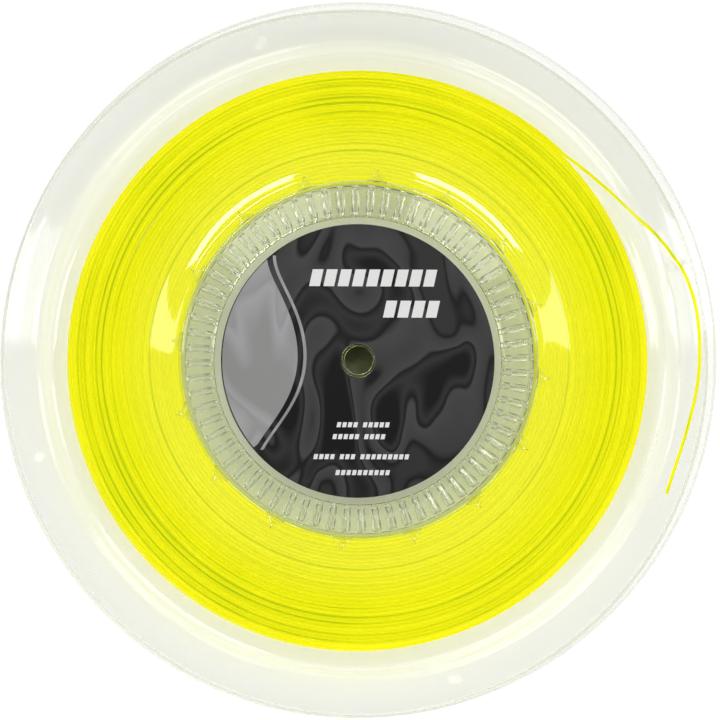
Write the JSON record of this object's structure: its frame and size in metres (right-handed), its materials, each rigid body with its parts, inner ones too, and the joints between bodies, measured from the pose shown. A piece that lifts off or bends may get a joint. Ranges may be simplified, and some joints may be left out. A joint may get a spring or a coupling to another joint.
{
  "type": "string reel",
  "caption": "Flat round reel with two clear dished flanges, a fluted hub with a spindle bore, round labels and a wound load of thin yellow racket string with a free end.",
  "frame": {"origin": "on the reel's axis, in the plane that the rear flange's band rests on", "axes": "+Z along the reel's axis from the rear face to the front face, +Y towards the top of the front label, +X to its right"},
  "size_m": [0.27, 0.27, 0.0287],
  "materials": {
    "clear_plastic": "clear moulded plastic, polished, very slightly yellow-green",
    "label_print": "gloss-laminated printed label, near-black with dark grey marbling",
    "string": "smooth fluorescent yellow polyester monofilament"
  },
  "bodies": {
    "root": {"front_flange": "clear_plastic", "front_band": "clear_plastic", "front_drum": "clear_plastic", "front_web": "clear_plastic", "front_boss": "clear_plastic", "front_label": "label_print", "rear_flange": "clear_plastic", "rear_band": "clear_plastic", "rear_drum": "clear_plastic", "rear_web": "clear_plastic", "rear_boss": "clear_plastic", "rear_label": "label_print", "string_winding": "string", "string_tail": "string"}
  },
  "joints": []
}
